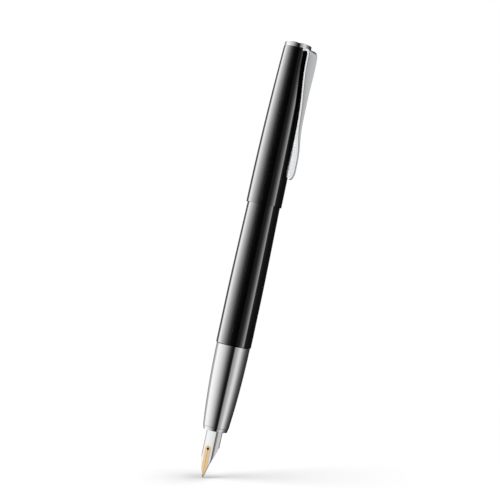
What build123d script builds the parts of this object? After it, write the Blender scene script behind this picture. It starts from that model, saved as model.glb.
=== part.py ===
from build123d import *
import math
import os

os.makedirs("parts", exist_ok=True)

# A fountain pen that stands on its nib, with its cap pushed onto the rear of the barrel.
# Millimetres. The origin is on the axis, level with the writing tip.
# +Z runs up the axis, and the face of the nib looks to -Y.

# Overall stations along the axis
GRIP_FRONT = 16.9
GRIP_REAR = 47.9
BARREL_FRONT = 48.0
BARREL_REAR = 124.2
CAP_LIP = 99.1
CAP_RIM = 156.0
CROWN_TOP = 158.2

# Nib and feed: one flat-topped unit, rounded-square in section, whose front slopes to the tip
UNIT_WIDTH = 4.8
UNIT_FACE_Y = -2.3
UNIT_BACK_Y = 2.0
UNIT_CORNER = 0.6
NIB_WALL = 0.35
NIB_BEND_Z = 10.2
NIB_DROOP = 0.3
NIB_TIP_Z = 0.6
NIB_TIP_HALF = 0.34
NIB_SHOULDER_Z = 7.2
NIB_SKIRT_Y = 1.0
NIB_FOLD_Z = 6.4
NIB_REAR = 26.0
BREATHER_R = 0.5
SLIT_WIDTH = 0.12
TIPPING_R = 0.42
FEED_FRONT = 6.6
FEED_STEP = 10.7
FEED_REAR = 31.0
COMB_COUNT = 7
COMB_PITCH = 1.3
COMB_GAP = 0.4
COMB_DEPTH = 0.9
COMB_START = 18.6

# Grip
RING_FRONT_R = 4.35
RING_REAR_R = 4.58
RING_LENGTH = 1.25
GRIP_NECK_R = 4.65
GRIP_MID = (5.5, 29.4)
GRIP_FULL_R = 6.04
GRIP_FULL_Z = 43.0
CORE_FRONT_R = 3.75
CORE_REAR_R = 5.1
CORE_LIP = 0.3
CORE_PILOT_R = 2.0
CORE_WELL_R = 3.4
CORE_WELL_FLOOR = 44.5
CORE_REAR = 55.6
THREAD_ROOT_R = 4.72
THREAD_CREST_R = 5.0
THREAD_PITCH = 0.9
THREAD_COUNT = 7
THREAD_START = 49.0
PIPE_R = 1.1
PIPE_BORE = 0.55
PIPE_SEAT = 3.0
PIPE_TOP = 53.0

# Barrel
BARREL_R = 6.33
BARREL_STRAIGHT = 65.8
BARREL_MID = (6.1, 85.0)
BARREL_CONE_R = 5.80
BARREL_CONE_Z = 105.0
BARREL_TAIL_R = 5.38
BARREL_WALL = 0.5
INSERT_R = 5.06
INSERT_TOP = 57.0
PLUG_SKIRT = 4.0
PLUG_DOME = 0.8

# Converter, from its mouth up to its knob
MOUTH_BOTTOM = 45.0
MOUTH_TOP = 57.0
CONV_R = 3.3
CONV_BORE = 2.65
TUBE_TOP = 90.0
GUIDE_BOTTOM = 85.0
BAND_R = 3.6
BAND_TOP = 99.0
KNOB_NECK_R = 2.85
KNOB_GAP = 0.3
KNOB_TOP = 121.0
KNOB_BORE = 1.5
KNOB_BLIND = 119.0
FLUTE_COUNT = 20
FLUTE_R = 0.22
SPINDLE_R = 1.4
SPINDLE_ROOT = 1.15
SPINDLE_TOP = 95.5
SPINDLE_TURNS = 16
SPINDLE_PITCH = 2.0
PISTON_BOTTOM = 57.6
PISTON_TOP = 62.4
PISTON_R = 2.3
SEAL_R = 2.6
SEAL_HEIGHT = 0.9

# Cap
CAP_LIP_R = 6.38
CAP_MID = (6.0, 127.8)
CAP_RIM_R = 4.93
CAP_BORE = 6.08
CAP_BORE_TOP = 108.0
CAP_KNEE = (5.55, 128.0)
CAP_SHELF = (4.5, 153.9)
RING_SEAT = 155.1
RING_DISC_R = 4.3
SCREW_R = 1.1
SCREW_TOP = 157.3
SCREW_HEAD_R = 2.0
SCREW_HEAD = 1.0
LINER_BOTTOM = 118.0
LINER_SKIRT_TOP = 126.2
LINER_FIT = 0.04
LINER_SNAP_R = 4.72
LINER_SNAP_Z = 128.6
LINER_SEAL_Z = 130.4
LINER_BORE = 4.0
LINER_ROOF = 152.0
CROWN_R = 4.82
CROWN_EDGE = 157.5
CROWN_FLAT = 1.6

# Clip
CLIP_AZIMUTH = 84.0
TAB_START_R = 3.0
CLIP_ROOT_R = 5.05
CLIP_GAP = 0.05
CLIP_ROOT_WIDTH = 5.4
CLIP_WIDE = 5.7
CLIP_WIDE_Z = 150.0
CLIP_TIP_WIDTH = 0.8
CLIP_TIP_Z = 112.0
CLIP_END_Z = 109.4

FAR = 30.0


def cone_radius(low, high, z):
    """Radius at z on the straight line between two (radius, z) points."""
    share = (z - low[1]) / (high[1] - low[1])
    return low[0] + share * (high[0] - low[0])


def half_ring(points):
    """Closed profile in the XZ plane, given as (radius, z) corners, ready to revolve about Z."""
    with BuildSketch(Plane.XZ) as sketch:
        with BuildLine():
            Polyline(*points, close=True)
        make_face()
    return sketch.sketch


def dome_middle(reach, rise):
    """Point half way out on an arc that falls by rise over reach and is level where it starts."""
    ball = (reach**2 + rise**2) / (2 * rise)
    return reach / 2, ball - math.sqrt(ball**2 - reach**2 / 4)


def write(part, name):
    """Label a finished piece and write its STEP file."""
    part.label = name
    export_step(part, f"parts/{name}.step")


# ---- Nib: a folded sheet that slopes to the tip, with its outline cut from the front ----
def unit_section(z, shift=0.0, inset=0.0):
    """Rounded-square outline of the nib and feed at height z, moved back by shift and drawn in by inset."""
    middle = (UNIT_FACE_Y + UNIT_BACK_Y) / 2 + shift
    depth = UNIT_BACK_Y - UNIT_FACE_Y
    with BuildSketch(Plane.XY.offset(z), mode=Mode.PRIVATE) as section:
        with Locations((0, middle)):
            RectangleRounded(UNIT_WIDTH - 2 * inset, depth - 2 * inset, UNIT_CORNER - inset)
    return section.sketch


def unit_solid(inset, bottom, top):
    """Solid inside the unit's surface: straight above the bend and sheared backwards below it."""
    with BuildPart(mode=Mode.PRIVATE) as solid:
        add(unit_section(0, NIB_DROOP, inset))
        add(unit_section(NIB_BEND_Z, 0, inset))
        loft(ruled=True)
        add(unit_section(NIB_BEND_Z, 0, inset))
        extrude(amount=top - NIB_BEND_Z)
        split(bisect_by=Plane.XY.offset(bottom), keep=Keep.TOP)
    return solid.part


def face_y(z):
    """Y of the nib's outer face at height z."""
    return UNIT_FACE_Y + NIB_DROOP * max(0, 1 - z / NIB_BEND_Z)


HALF_FULL = UNIT_WIDTH / 2

with BuildPart() as nib:
    add(unit_solid(0, NIB_TIP_Z, NIB_REAR))
    add(unit_solid(NIB_WALL, 0, NIB_REAR), mode=Mode.SUBTRACT)
    with BuildSketch(Plane.XZ.offset(-FAR / 2)):
        with BuildLine():
            Polyline((-NIB_TIP_HALF, NIB_TIP_Z), (NIB_TIP_HALF, NIB_TIP_Z),
                     (HALF_FULL, NIB_SHOULDER_Z), (HALF_FULL, NIB_REAR),
                     (-HALF_FULL, NIB_REAR), (-HALF_FULL, NIB_SHOULDER_Z), close=True)
        make_face()
    extrude(amount=FAR, mode=Mode.INTERSECT)
    with BuildSketch(Plane.YZ):
        with BuildLine():
            Polyline((-FAR / 2, 0), (0, 0), (face_y(NIB_FOLD_Z) + UNIT_CORNER, NIB_FOLD_Z),
                     (NIB_SKIRT_Y, NIB_BEND_Z), (NIB_SKIRT_Y, NIB_REAR), (-FAR / 2, NIB_REAR), close=True)
        make_face()
    extrude(amount=FAR, both=True, mode=Mode.INTERSECT)
    with BuildSketch(Plane.XZ):
        with Locations((0, NIB_BEND_Z)):
            Circle(BREATHER_R)
        with Locations((0, (NIB_TIP_Z + NIB_BEND_Z) / 2)):
            Rectangle(SLIT_WIDTH, NIB_BEND_Z - NIB_TIP_Z + SLIT_WIDTH)
    extrude(amount=FAR, mode=Mode.SUBTRACT)
write(nib.part, "nib")

with BuildPart() as nib_tip:
    with Locations((0, face_y(NIB_TIP_Z) + NIB_WALL / 2, TIPPING_R)):
        Sphere(TIPPING_R)
    split(bisect_by=Plane.XY.offset(NIB_TIP_Z), keep=Keep.BOTTOM)
write(nib_tip.part, "nib_tip")

# ---- Feed: fills the nib from below, with a slanted front end and air fins inside the grip ----
with BuildPart() as feed:
    add(unit_solid(NIB_WALL, FEED_FRONT, NIB_REAR))
    add(unit_section(FEED_STEP))
    extrude(amount=NIB_REAR - FEED_STEP)
    with BuildSketch(Plane.XY.offset(FEED_STEP)):
        with Locations((0, NIB_SKIRT_Y - FAR / 2)):
            Rectangle(FAR, FAR)
        with Locations((0, (UNIT_FACE_Y + UNIT_BACK_Y) / 2)):
            RectangleRounded(UNIT_WIDTH - 2 * NIB_WALL, UNIT_BACK_Y - UNIT_FACE_Y - 2 * NIB_WALL,
                             UNIT_CORNER - NIB_WALL, mode=Mode.SUBTRACT)
    extrude(amount=NIB_REAR - FEED_STEP, mode=Mode.SUBTRACT)
    add(unit_section(NIB_REAR))
    extrude(amount=FEED_REAR - NIB_REAR)
    with BuildSketch(Plane.YZ):
        with BuildLine():
            Polyline((-FAR, FEED_FRONT), (face_y(FEED_FRONT) + UNIT_CORNER, FEED_FRONT),
                     (NIB_SKIRT_Y, NIB_BEND_Z), (UNIT_BACK_Y, FEED_STEP), (FAR, FEED_STEP),
                     (FAR, FEED_REAR), (-FAR, FEED_REAR), close=True)
        make_face()
    extrude(amount=FAR, both=True, mode=Mode.INTERSECT)
    with BuildSketch(Plane.YZ):
        for number in range(COMB_COUNT):
            with Locations((UNIT_BACK_Y, COMB_START + number * COMB_PITCH)):
                Rectangle(2 * COMB_DEPTH, COMB_GAP)
    extrude(amount=FAR, both=True, mode=Mode.SUBTRACT)
    with BuildSketch(Plane.XY.offset(FEED_REAR)):
        Circle(PIPE_R)
    extrude(amount=-PIPE_SEAT, mode=Mode.SUBTRACT)
write(feed.part, "feed")

# ---- Ink pipe: pressed into the feed, it pierces a cartridge or fills the converter's mouth ----
with BuildPart() as ink_pipe:
    with BuildSketch(Plane.XY.offset(FEED_REAR - PIPE_SEAT)):
        Circle(PIPE_R)
        Circle(PIPE_BORE, mode=Mode.SUBTRACT)
    extrude(amount=PIPE_TOP - FEED_REAR + PIPE_SEAT)
write(ink_pipe.part, "ink_pipe")

# ---- Grip: core, sleeve and front ring ----
CORE_BOTTOM = GRIP_FRONT + CORE_LIP
core_low = (CORE_FRONT_R, CORE_BOTTOM)
core_high = (CORE_REAR_R, GRIP_REAR)
RING_TOP = GRIP_FRONT + RING_LENGTH
CORE_RING_R = cone_radius(core_low, core_high, RING_TOP)

with BuildPart() as grip_core:
    add(half_ring([
        (CORE_PILOT_R, CORE_BOTTOM), core_low, core_high, (THREAD_ROOT_R, GRIP_REAR),
        (THREAD_ROOT_R, CORE_REAR), (CORE_WELL_R, CORE_REAR), (CORE_WELL_R, CORE_WELL_FLOOR),
        (PIPE_R, CORE_WELL_FLOOR), (PIPE_R, FEED_REAR), (CORE_PILOT_R, FEED_REAR),
    ]))
    revolve(axis=Axis.Z)
    add(unit_section(CORE_BOTTOM))
    extrude(amount=FEED_REAR - CORE_BOTTOM, mode=Mode.SUBTRACT)
    with BuildSketch(Plane.XZ):
        for number in range(THREAD_COUNT):
            foot = THREAD_START + number * THREAD_PITCH
            with BuildLine():
                Polyline((THREAD_ROOT_R, foot), (THREAD_CREST_R, foot + 0.3),
                         (THREAD_CREST_R, foot + 0.4), (THREAD_ROOT_R, foot + 0.7),
                         (THREAD_ROOT_R - 0.3, foot + 0.35), close=True)
            make_face()
    revolve(axis=Axis.Z)
write(grip_core.part, "grip_core")

with BuildPart() as grip_sleeve:
    with BuildSketch(Plane.XZ):
        with BuildLine():
            waist = Spline((GRIP_NECK_R, RING_TOP + 0.25), GRIP_MID, (GRIP_FULL_R, GRIP_FULL_Z),
                           tangents=[(0.14, 1), (0, 1)])
            Polyline(waist @ 1, (GRIP_FULL_R, GRIP_REAR - 0.15), (GRIP_FULL_R - 0.15, GRIP_REAR),
                     core_high, (CORE_RING_R, RING_TOP), (GRIP_NECK_R - 0.25, RING_TOP), waist @ 0)
        make_face()
    revolve(axis=Axis.Z)
write(grip_sleeve.part, "grip_sleeve")

with BuildPart() as grip_front_ring:
    add(half_ring([
        (CORE_PILOT_R, GRIP_FRONT), (RING_FRONT_R - 0.25, GRIP_FRONT), (RING_FRONT_R, GRIP_FRONT + 0.25),
        (RING_REAR_R, RING_TOP - 0.12), (RING_REAR_R - 0.12, RING_TOP), (CORE_RING_R, RING_TOP),
        core_low, (CORE_PILOT_R, CORE_BOTTOM),
    ]))
    revolve(axis=Axis.Z)
    add(unit_section(GRIP_FRONT))
    extrude(amount=CORE_LIP, mode=Mode.SUBTRACT)
write(grip_front_ring.part, "grip_front_ring")

# ---- Barrel: lacquered tube, thread insert and end plug ----
barrel_low = (BARREL_CONE_R, BARREL_CONE_Z)
barrel_high = (BARREL_TAIL_R, BARREL_REAR)
TAIL_SLOPE = (BARREL_TAIL_R - BARREL_CONE_R) / (BARREL_REAR - BARREL_CONE_Z)
INSERT_OUTER_R = BARREL_R - BARREL_WALL
PLUG_BOTTOM = BARREL_REAR - PLUG_SKIRT
PLUG_R = BARREL_TAIL_R - BARREL_WALL

with BuildPart() as barrel_tube:
    with BuildSketch(Plane.XZ):
        with BuildLine():
            taper = Spline((BARREL_R, BARREL_STRAIGHT), BARREL_MID, barrel_low,
                           tangents=[(0, 1), (TAIL_SLOPE, 1)])
            Polyline(taper @ 1, barrel_high, (PLUG_R, BARREL_REAR), (PLUG_R, PLUG_BOTTOM),
                     (BARREL_CONE_R - BARREL_WALL, BARREL_CONE_Z),
                     (BARREL_MID[0] - BARREL_WALL, BARREL_MID[1]),
                     (INSERT_OUTER_R, BARREL_STRAIGHT), (INSERT_OUTER_R, BARREL_FRONT),
                     (BARREL_R - 0.12, BARREL_FRONT), (BARREL_R, BARREL_FRONT + 0.12), taper @ 0)
        make_face()
    revolve(axis=Axis.Z)
write(barrel_tube.part, "barrel_tube")

with BuildPart() as barrel_thread_insert:
    add(half_ring([
        (INSERT_R, BARREL_FRONT + 0.5), (INSERT_R + 0.5, BARREL_FRONT), (INSERT_OUTER_R, BARREL_FRONT),
        (INSERT_OUTER_R, INSERT_TOP), (INSERT_R, INSERT_TOP),
    ]))
    revolve(axis=Axis.Z)
    with BuildSketch(Plane.XZ):
        for number in range(THREAD_COUNT):
            with Locations((INSERT_R, THREAD_START + number * THREAD_PITCH + 0.35)):
                Rectangle(0.5, 0.35)
    revolve(axis=Axis.Z, mode=Mode.SUBTRACT)
write(barrel_thread_insert.part, "barrel_thread_insert")

PLUG_EDGE_R = BARREL_TAIL_R - 0.15
PLUG_TOP = BARREL_REAR + PLUG_DOME
plug_middle, plug_drop = dome_middle(PLUG_EDGE_R, PLUG_DOME)

with BuildPart() as barrel_end_plug:
    with BuildSketch(Plane.XZ):
        with BuildLine():
            Polyline((0, PLUG_TOP), (0, BARREL_REAR - 1.0), (PLUG_R - 0.8, BARREL_REAR - 1.0),
                     (PLUG_R - 0.8, PLUG_BOTTOM), (PLUG_R, PLUG_BOTTOM), (PLUG_R, BARREL_REAR),
                     (PLUG_EDGE_R, BARREL_REAR))
            ThreePointArc((PLUG_EDGE_R, BARREL_REAR), (plug_middle, PLUG_TOP - plug_drop), (0, PLUG_TOP))
        make_face()
    revolve(axis=Axis.Z)
write(barrel_end_plug.part, "barrel_end_plug")

# ---- Converter: fixed pieces ----
with BuildPart() as converter_mouth:
    add(half_ring([
        (PIPE_R, MOUTH_BOTTOM), (CONV_R - 0.4, MOUTH_BOTTOM), (CONV_R, MOUTH_BOTTOM + 0.4),
        (CONV_R, MOUTH_TOP - 2.0), (CONV_BORE, MOUTH_TOP - 2.0), (CONV_BORE, MOUTH_TOP),
        (PIPE_R, MOUTH_TOP),
    ]))
    revolve(axis=Axis.Z)
write(converter_mouth.part, "converter_mouth")

with BuildPart() as converter_tube:
    with BuildSketch(Plane.XY.offset(MOUTH_TOP - 2.0)):
        Circle(CONV_R)
        Circle(CONV_BORE, mode=Mode.SUBTRACT)
    extrude(amount=TUBE_TOP - MOUTH_TOP + 2.0)
write(converter_tube.part, "converter_tube")

with BuildPart() as converter_guide:
    add(half_ring([
        (SPINDLE_R + 0.1, GUIDE_BOTTOM), (CONV_BORE, GUIDE_BOTTOM), (CONV_BORE, TUBE_TOP),
        (CONV_R, TUBE_TOP), (CONV_R, TUBE_TOP + 1.0), (SPINDLE_R + 0.1, TUBE_TOP + 1.0),
    ]))
    revolve(axis=Axis.Z)
write(converter_guide.part, "converter_guide")

with BuildPart() as converter_band:
    add(half_ring([
        (CONV_R, GUIDE_BOTTOM + 1.0), (BAND_R, GUIDE_BOTTOM + 1.0), (BAND_R, BAND_TOP - 0.3),
        (BAND_R - 0.3, BAND_TOP), (CONV_R - 0.3, BAND_TOP), (CONV_R - 0.3, BAND_TOP - 1.0),
        (CONV_R, BAND_TOP - 1.3),
    ]))
    revolve(axis=Axis.Z)
write(converter_band.part, "converter_band")

# ---- Converter: moving pieces ----
with BuildPart() as converter_knob:
    NECK_BOTTOM = TUBE_TOP + 1.0 + KNOB_GAP
    add(half_ring([
        (KNOB_BORE, NECK_BOTTOM), (KNOB_NECK_R, NECK_BOTTOM), (KNOB_NECK_R, BAND_TOP + KNOB_GAP),
        (CONV_R, BAND_TOP + KNOB_GAP), (CONV_R, KNOB_TOP - 0.5), (CONV_R - 0.5, KNOB_TOP),
        (0, KNOB_TOP), (0, KNOB_BLIND), (KNOB_BORE, KNOB_BLIND),
    ]))
    revolve(axis=Axis.Z)
    with BuildSketch(Plane.XY.offset(BAND_TOP + KNOB_GAP + 1.5)):
        with PolarLocations(CONV_R, FLUTE_COUNT):
            Circle(FLUTE_R)
    extrude(amount=KNOB_TOP - BAND_TOP - KNOB_GAP - 4.0, mode=Mode.SUBTRACT)
write(converter_knob.part, "converter_knob")

with BuildPart() as converter_spindle:
    with BuildSketch(Plane.XY.offset(PISTON_TOP)):
        Circle(SPINDLE_R)
    extrude(amount=SPINDLE_TOP - PISTON_TOP)
    with BuildSketch(Plane.XZ):
        for number in range(SPINDLE_TURNS):
            with Locations((SPINDLE_R, PISTON_TOP + (number + 0.5) * SPINDLE_PITCH)):
                Rectangle(2 * (SPINDLE_R - SPINDLE_ROOT), SPINDLE_PITCH / 2)
    revolve(axis=Axis.Z, mode=Mode.SUBTRACT)
write(converter_spindle.part, "converter_spindle")

SEAL_STATIONS = [PISTON_BOTTOM + 0.6, PISTON_TOP - 0.6 - SEAL_HEIGHT]
SEAL_SEAT_R = PISTON_R - 0.5

with BuildPart() as converter_piston:
    with BuildSketch(Plane.XY.offset(PISTON_BOTTOM)):
        Circle(PISTON_R)
    extrude(amount=PISTON_TOP - PISTON_BOTTOM)
    for station in SEAL_STATIONS:
        with BuildSketch(Plane.XY.offset(station)):
            Circle(PISTON_R + 1)
            Circle(SEAL_SEAT_R, mode=Mode.SUBTRACT)
        extrude(amount=SEAL_HEIGHT, mode=Mode.SUBTRACT)
write(converter_piston.part, "converter_piston")

with BuildPart() as piston_seals:
    for station in SEAL_STATIONS:
        with BuildSketch(Plane.XZ):
            with BuildLine():
                Polyline((SEAL_R - 0.25, station), (SEAL_SEAT_R, station),
                         (SEAL_SEAT_R, station + SEAL_HEIGHT), (SEAL_R - 0.25, station + SEAL_HEIGHT))
                ThreePointArc((SEAL_R - 0.25, station + SEAL_HEIGHT), (SEAL_R, station + SEAL_HEIGHT / 2),
                              (SEAL_R - 0.25, station))
            make_face()
        revolve(axis=Axis.Z)
write(piston_seals.part, "piston_seals")

# ---- Cap ----
radial = Vector(math.sin(math.radians(CLIP_AZIMUTH)), -math.cos(math.radians(CLIP_AZIMUTH)), 0)
tangent = Vector(-radial.Y, radial.X, 0)
clip_side = Plane(origin=(0, 0, 0), x_dir=radial, z_dir=-tangent)
clip_front = Plane(origin=(0, 0, 0), x_dir=tangent, z_dir=radial)

with BuildPart() as cap_tube:
    with BuildSketch(Plane.XZ):
        with BuildLine():
            flank = Spline((CAP_LIP_R, CAP_LIP + 0.15), CAP_MID, (CAP_RIM_R, CAP_RIM),
                           tangents=[(0, 1), (-0.05, 1)])
            Polyline(flank @ 1, (RING_DISC_R, CAP_RIM), (RING_DISC_R, RING_SEAT), (SCREW_R, RING_SEAT),
                     (SCREW_R, CAP_SHELF[1]), CAP_SHELF, CAP_KNEE, (CAP_BORE, CAP_BORE_TOP),
                     (CAP_BORE, CAP_LIP), (CAP_LIP_R - 0.15, CAP_LIP), flank @ 0)
        make_face()
    revolve(axis=Axis.Z)
    with BuildSketch(clip_side):
        with Locations((CAP_RIM_R, (RING_SEAT + CAP_RIM) / 2)):
            Rectangle(2 * (CAP_RIM_R - TAB_START_R), CAP_RIM - RING_SEAT)
    extrude(amount=CLIP_ROOT_WIDTH / 2, both=True, mode=Mode.SUBTRACT)
write(cap_tube.part, "cap_tube")

liner_low = (cone_radius(barrel_low, barrel_high, LINER_BOTTOM) + LINER_FIT, LINER_BOTTOM)
liner_high = (cone_radius(barrel_low, barrel_high, LINER_SKIRT_TOP) + LINER_FIT, LINER_SKIRT_TOP)
LINER_OUTER = cone_radius((CAP_BORE, CAP_BORE_TOP), CAP_KNEE, LINER_BOTTOM)

with BuildPart() as cap_liner:
    add(half_ring([
        liner_low, (LINER_OUTER, LINER_BOTTOM), CAP_KNEE, CAP_SHELF, (SCREW_R, CAP_SHELF[1]),
        (SCREW_R, LINER_ROOF), (LINER_BORE, LINER_ROOF), (LINER_BORE, LINER_SEAL_Z),
        (LINER_SNAP_R + 0.08, LINER_SEAL_Z), (LINER_SNAP_R + 0.08, LINER_SNAP_Z + 0.8),
        (LINER_SNAP_R, LINER_SNAP_Z + 0.6), (LINER_SNAP_R, LINER_SNAP_Z), liner_high,
    ]))
    revolve(axis=Axis.Z)
write(cap_liner.part, "cap_liner")

CROWN_SHOULDER = (CROWN_R - 0.3, CROWN_EDGE + 0.05)
crown_middle, crown_drop = dome_middle(CROWN_SHOULDER[0] - CROWN_FLAT, CROWN_TOP - CROWN_SHOULDER[1])

with BuildPart() as cap_crown:
    with BuildSketch(Plane.XZ):
        with BuildLine():
            Polyline((CROWN_FLAT, CROWN_TOP), (0, CROWN_TOP), (0, SCREW_TOP), (SCREW_R, SCREW_TOP),
                     (SCREW_R, CAP_RIM), (CROWN_R - 0.1, CAP_RIM), (CROWN_R, CAP_RIM + 0.1),
                     (CROWN_R, CROWN_EDGE - 0.25))
            RadiusArc((CROWN_R, CROWN_EDGE - 0.25), CROWN_SHOULDER, -0.35)
            ThreePointArc(CROWN_SHOULDER, (CROWN_FLAT + crown_middle, CROWN_TOP - crown_drop),
                          (CROWN_FLAT, CROWN_TOP))
        make_face()
    revolve(axis=Axis.Z)
write(cap_crown.part, "cap_crown")

with BuildPart() as crown_screw:
    with BuildSketch(Plane.XY.offset(LINER_ROOF - SCREW_HEAD)):
        Circle(SCREW_HEAD_R)
    extrude(amount=SCREW_HEAD)
    with BuildSketch(Plane.XY.offset(LINER_ROOF)):
        Circle(SCREW_R)
    extrude(amount=SCREW_TOP - LINER_ROOF)
    with BuildSketch(Plane.XY.offset(LINER_ROOF - SCREW_HEAD)):
        Rectangle(2 * SCREW_HEAD_R, SCREW_HEAD / 2)
    extrude(amount=SCREW_HEAD / 2, mode=Mode.SUBTRACT)
write(crown_screw.part, "crown_screw")

# ---- Clip: a clamped ring with a tab, and the springy blade that hangs from the tab ----
with BuildPart() as clip_ring:
    with BuildSketch(Plane.XY.offset(RING_SEAT)):
        Circle(RING_DISC_R)
    extrude(amount=CAP_RIM - RING_SEAT)
    with BuildSketch(clip_front.offset(TAB_START_R)):
        with Locations((0, (RING_SEAT + CAP_RIM) / 2)):
            Rectangle(CLIP_ROOT_WIDTH, CAP_RIM - RING_SEAT)
    extrude(amount=CLIP_ROOT_R - CLIP_GAP - TAB_START_R)
    with BuildSketch(Plane.XY.offset(RING_SEAT)):
        Circle(SCREW_R)
    extrude(amount=CAP_RIM - RING_SEAT, mode=Mode.SUBTRACT)
write(clip_ring.part, "clip_ring")

INNER_EDGE = [(6.35, 153.4), (6.4, CLIP_WIDE_Z), (6.7, 141.0), (7.0, 133.8), (7.12, 126.5),
              (6.75, 118.5), (6.45, CLIP_TIP_Z)]
OUTER_EDGE = [(7.35, 153.6), (7.4, CLIP_WIDE_Z), (7.75, 141.0), (8.2, 133.8), (8.75, 126.0),
              (9.85, 119.9), (10.15, CLIP_TIP_Z + 0.6)]
CLIP_FOOT = (8.2, CLIP_END_Z)
HALF_WIDTH = [(CLIP_WIDE / 2, CLIP_WIDE_Z), (1.9, 141.0), (1.15, 133.8), (0.75, 125.6),
              (CLIP_TIP_WIDTH / 2, 118.5)]

with BuildPart() as clip:
    with BuildSketch(clip_side):
        with BuildLine():
            inner = Spline(*INNER_EDGE)
            outer = Spline(*OUTER_EDGE, tangents=[(0.02, -1), (0, -1)])
            Spline(inner @ 1, CLIP_FOOT, outer @ 1, tangents=[inner % 1, (0, 1)])
            Polyline(inner @ 0, (5.75, RING_SEAT), (CLIP_ROOT_R, RING_SEAT), (CLIP_ROOT_R, CAP_RIM),
                     (5.9, CAP_RIM), (6.75, 155.5), outer @ 0)
        make_face()
    extrude(amount=FAR, both=True)
    with BuildSketch(clip_front):
        with BuildLine():
            right = Spline(*HALF_WIDTH)
            left = Spline(*[(-x, z) for x, z in HALF_WIDTH])
            Polyline(right @ 1, (CLIP_TIP_WIDTH / 2, CLIP_END_Z - 1), (-CLIP_TIP_WIDTH / 2, CLIP_END_Z - 1),
                     left @ 1)
            Polyline(right @ 0, (CLIP_ROOT_WIDTH / 2, RING_SEAT), (CLIP_ROOT_WIDTH / 2, CAP_RIM),
                     (-CLIP_ROOT_WIDTH / 2, CAP_RIM), (-CLIP_ROOT_WIDTH / 2, RING_SEAT), left @ 0)
        make_face()
    extrude(amount=FAR, mode=Mode.INTERSECT)
write(clip.part, "clip")
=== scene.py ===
import math

import bmesh
import bpy
import numpy as np
from bpy.props import FloatProperty, FloatVectorProperty, IntProperty, PointerProperty
from bpy.types import Operator, Panel, PropertyGroup
from mathutils import Matrix, Vector


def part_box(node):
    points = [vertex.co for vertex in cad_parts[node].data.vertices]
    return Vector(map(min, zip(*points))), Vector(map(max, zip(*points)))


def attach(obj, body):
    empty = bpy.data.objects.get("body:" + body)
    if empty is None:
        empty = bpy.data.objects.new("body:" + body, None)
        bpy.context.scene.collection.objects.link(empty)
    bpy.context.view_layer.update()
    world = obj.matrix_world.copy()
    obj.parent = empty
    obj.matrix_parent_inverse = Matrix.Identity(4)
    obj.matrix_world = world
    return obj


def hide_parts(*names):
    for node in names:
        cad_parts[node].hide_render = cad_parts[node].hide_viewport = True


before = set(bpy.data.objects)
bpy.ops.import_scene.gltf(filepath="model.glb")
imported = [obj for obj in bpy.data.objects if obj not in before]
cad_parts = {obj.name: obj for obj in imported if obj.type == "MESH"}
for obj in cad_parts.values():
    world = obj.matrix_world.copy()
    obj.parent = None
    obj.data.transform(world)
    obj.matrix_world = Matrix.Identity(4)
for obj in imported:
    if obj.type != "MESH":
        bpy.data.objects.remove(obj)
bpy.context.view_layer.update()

bl_info = {
    "name": "Fountain Pen Builder",
    "version": (1, 0, 0),
    "blender": (4, 5, 0),
    "location": "3D View > Sidebar > Pen",
    "description": "Builds the visible surfaces, finishes and studio of a fountain pen around its frame",
    "category": "Object",
}

MM = 0.001
SHARP_ANGLE = math.radians(32)
MERGE_DISTANCE = 2e-8
CAMERA_AZIMUTH = math.radians(28.0)
CLIP_AZIMUTH = math.radians(84.0)
LEAN = math.radians(12.2)

# bearing from the camera in degrees, seen from above, and strength of the light that comes from there
SURROUNDINGS = ((-180, 0.05), (-135, 0.08), (-123, 0.8), (-116, 1.5), (-89, 1.35), (-74, 1.2),
                (-60, 0.98), (-47, 0.75), (-35, 0.48), (-23, 0.23), (-10, 0.06), (0, 0.01), (14, 0.02),
                (20, 0.44), (35, 0.60), (50, 1.02), (60, 1.05), (74, 0.66), (89, 0.3), (106, 0.12),
                (125, 0.06), (150, 0.04), (180, 0.05))
BRIGHTEST = 2.0
# the panels that only the lacquer reflects: bearing and strength, with straight runs between
LACQUER_LEFT = ((-131, 0.5), (-124, 3.0), (-116, 14.0), (-106, 16.0), (-89, 15.5), (-74, 11.0), (-60, 6.4),
                (-47, 2.3), (-35, 0.5), (-26, 0.0))
LACQUER_RIGHT = ((34, 0.0), (40, 0.3), (47, 1.4), (55, 4.2), (60, 7.0), (67, 10.5), (70, 10.5), (73, 0.0))
# the panels that only the clip and the nib reflect
STEEL_LEFT = ((-95, 0.2), (-80, 0.42), (-55, 0.42), (-42, 0.2), (-30, 0.0))
STEEL_RIGHT = ((92, 0.25), (104, 0.5), (118, 0.72), (132, 0.65), (140, 0.3))
# name, levels, and the pieces that alone reflect the panel
PANELS = (("lacquer_left", LACQUER_LEFT, "lacquered_pieces"),
          ("lacquer_right", LACQUER_RIGHT, "lacquered_pieces"),
          ("steel_left", STEEL_LEFT, "steel_pieces"),
          ("steel_right", STEEL_RIGHT, "steel_pieces"))
PANEL_DISTANCE = 0.7
PANEL_HEIGHT = 1.6
PANEL_MIDDLE_Z = 0.08
# name, lean to the right in degrees, width and power
OVERHEADS = (("overhead_left", -22, 0.42, 3.6), ("overhead_axis", 18.5, 0.26, 4.0))
OVERHEAD_DISTANCE = 0.8
AIM_Z = 82.3 * MM
AIM_LEFT = 1.4 * MM
FLOOR_RISE = math.radians(5.0)
FLOOR_GAP = 0.35 * MM
FLOOR_RINGS, FLOOR_SPOKES = 12, 96


# ---------------------------------------------------------------- places read from the frame
def span(node):
    """Lowest and highest corner of a CAD node, as numpy arrays in metres."""
    low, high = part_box(node)
    return np.array(low), np.array(high)


CAP_LIP = span("cap_tube")[0][2]
CAP_RIM = span("cap_tube")[1][2]
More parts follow.
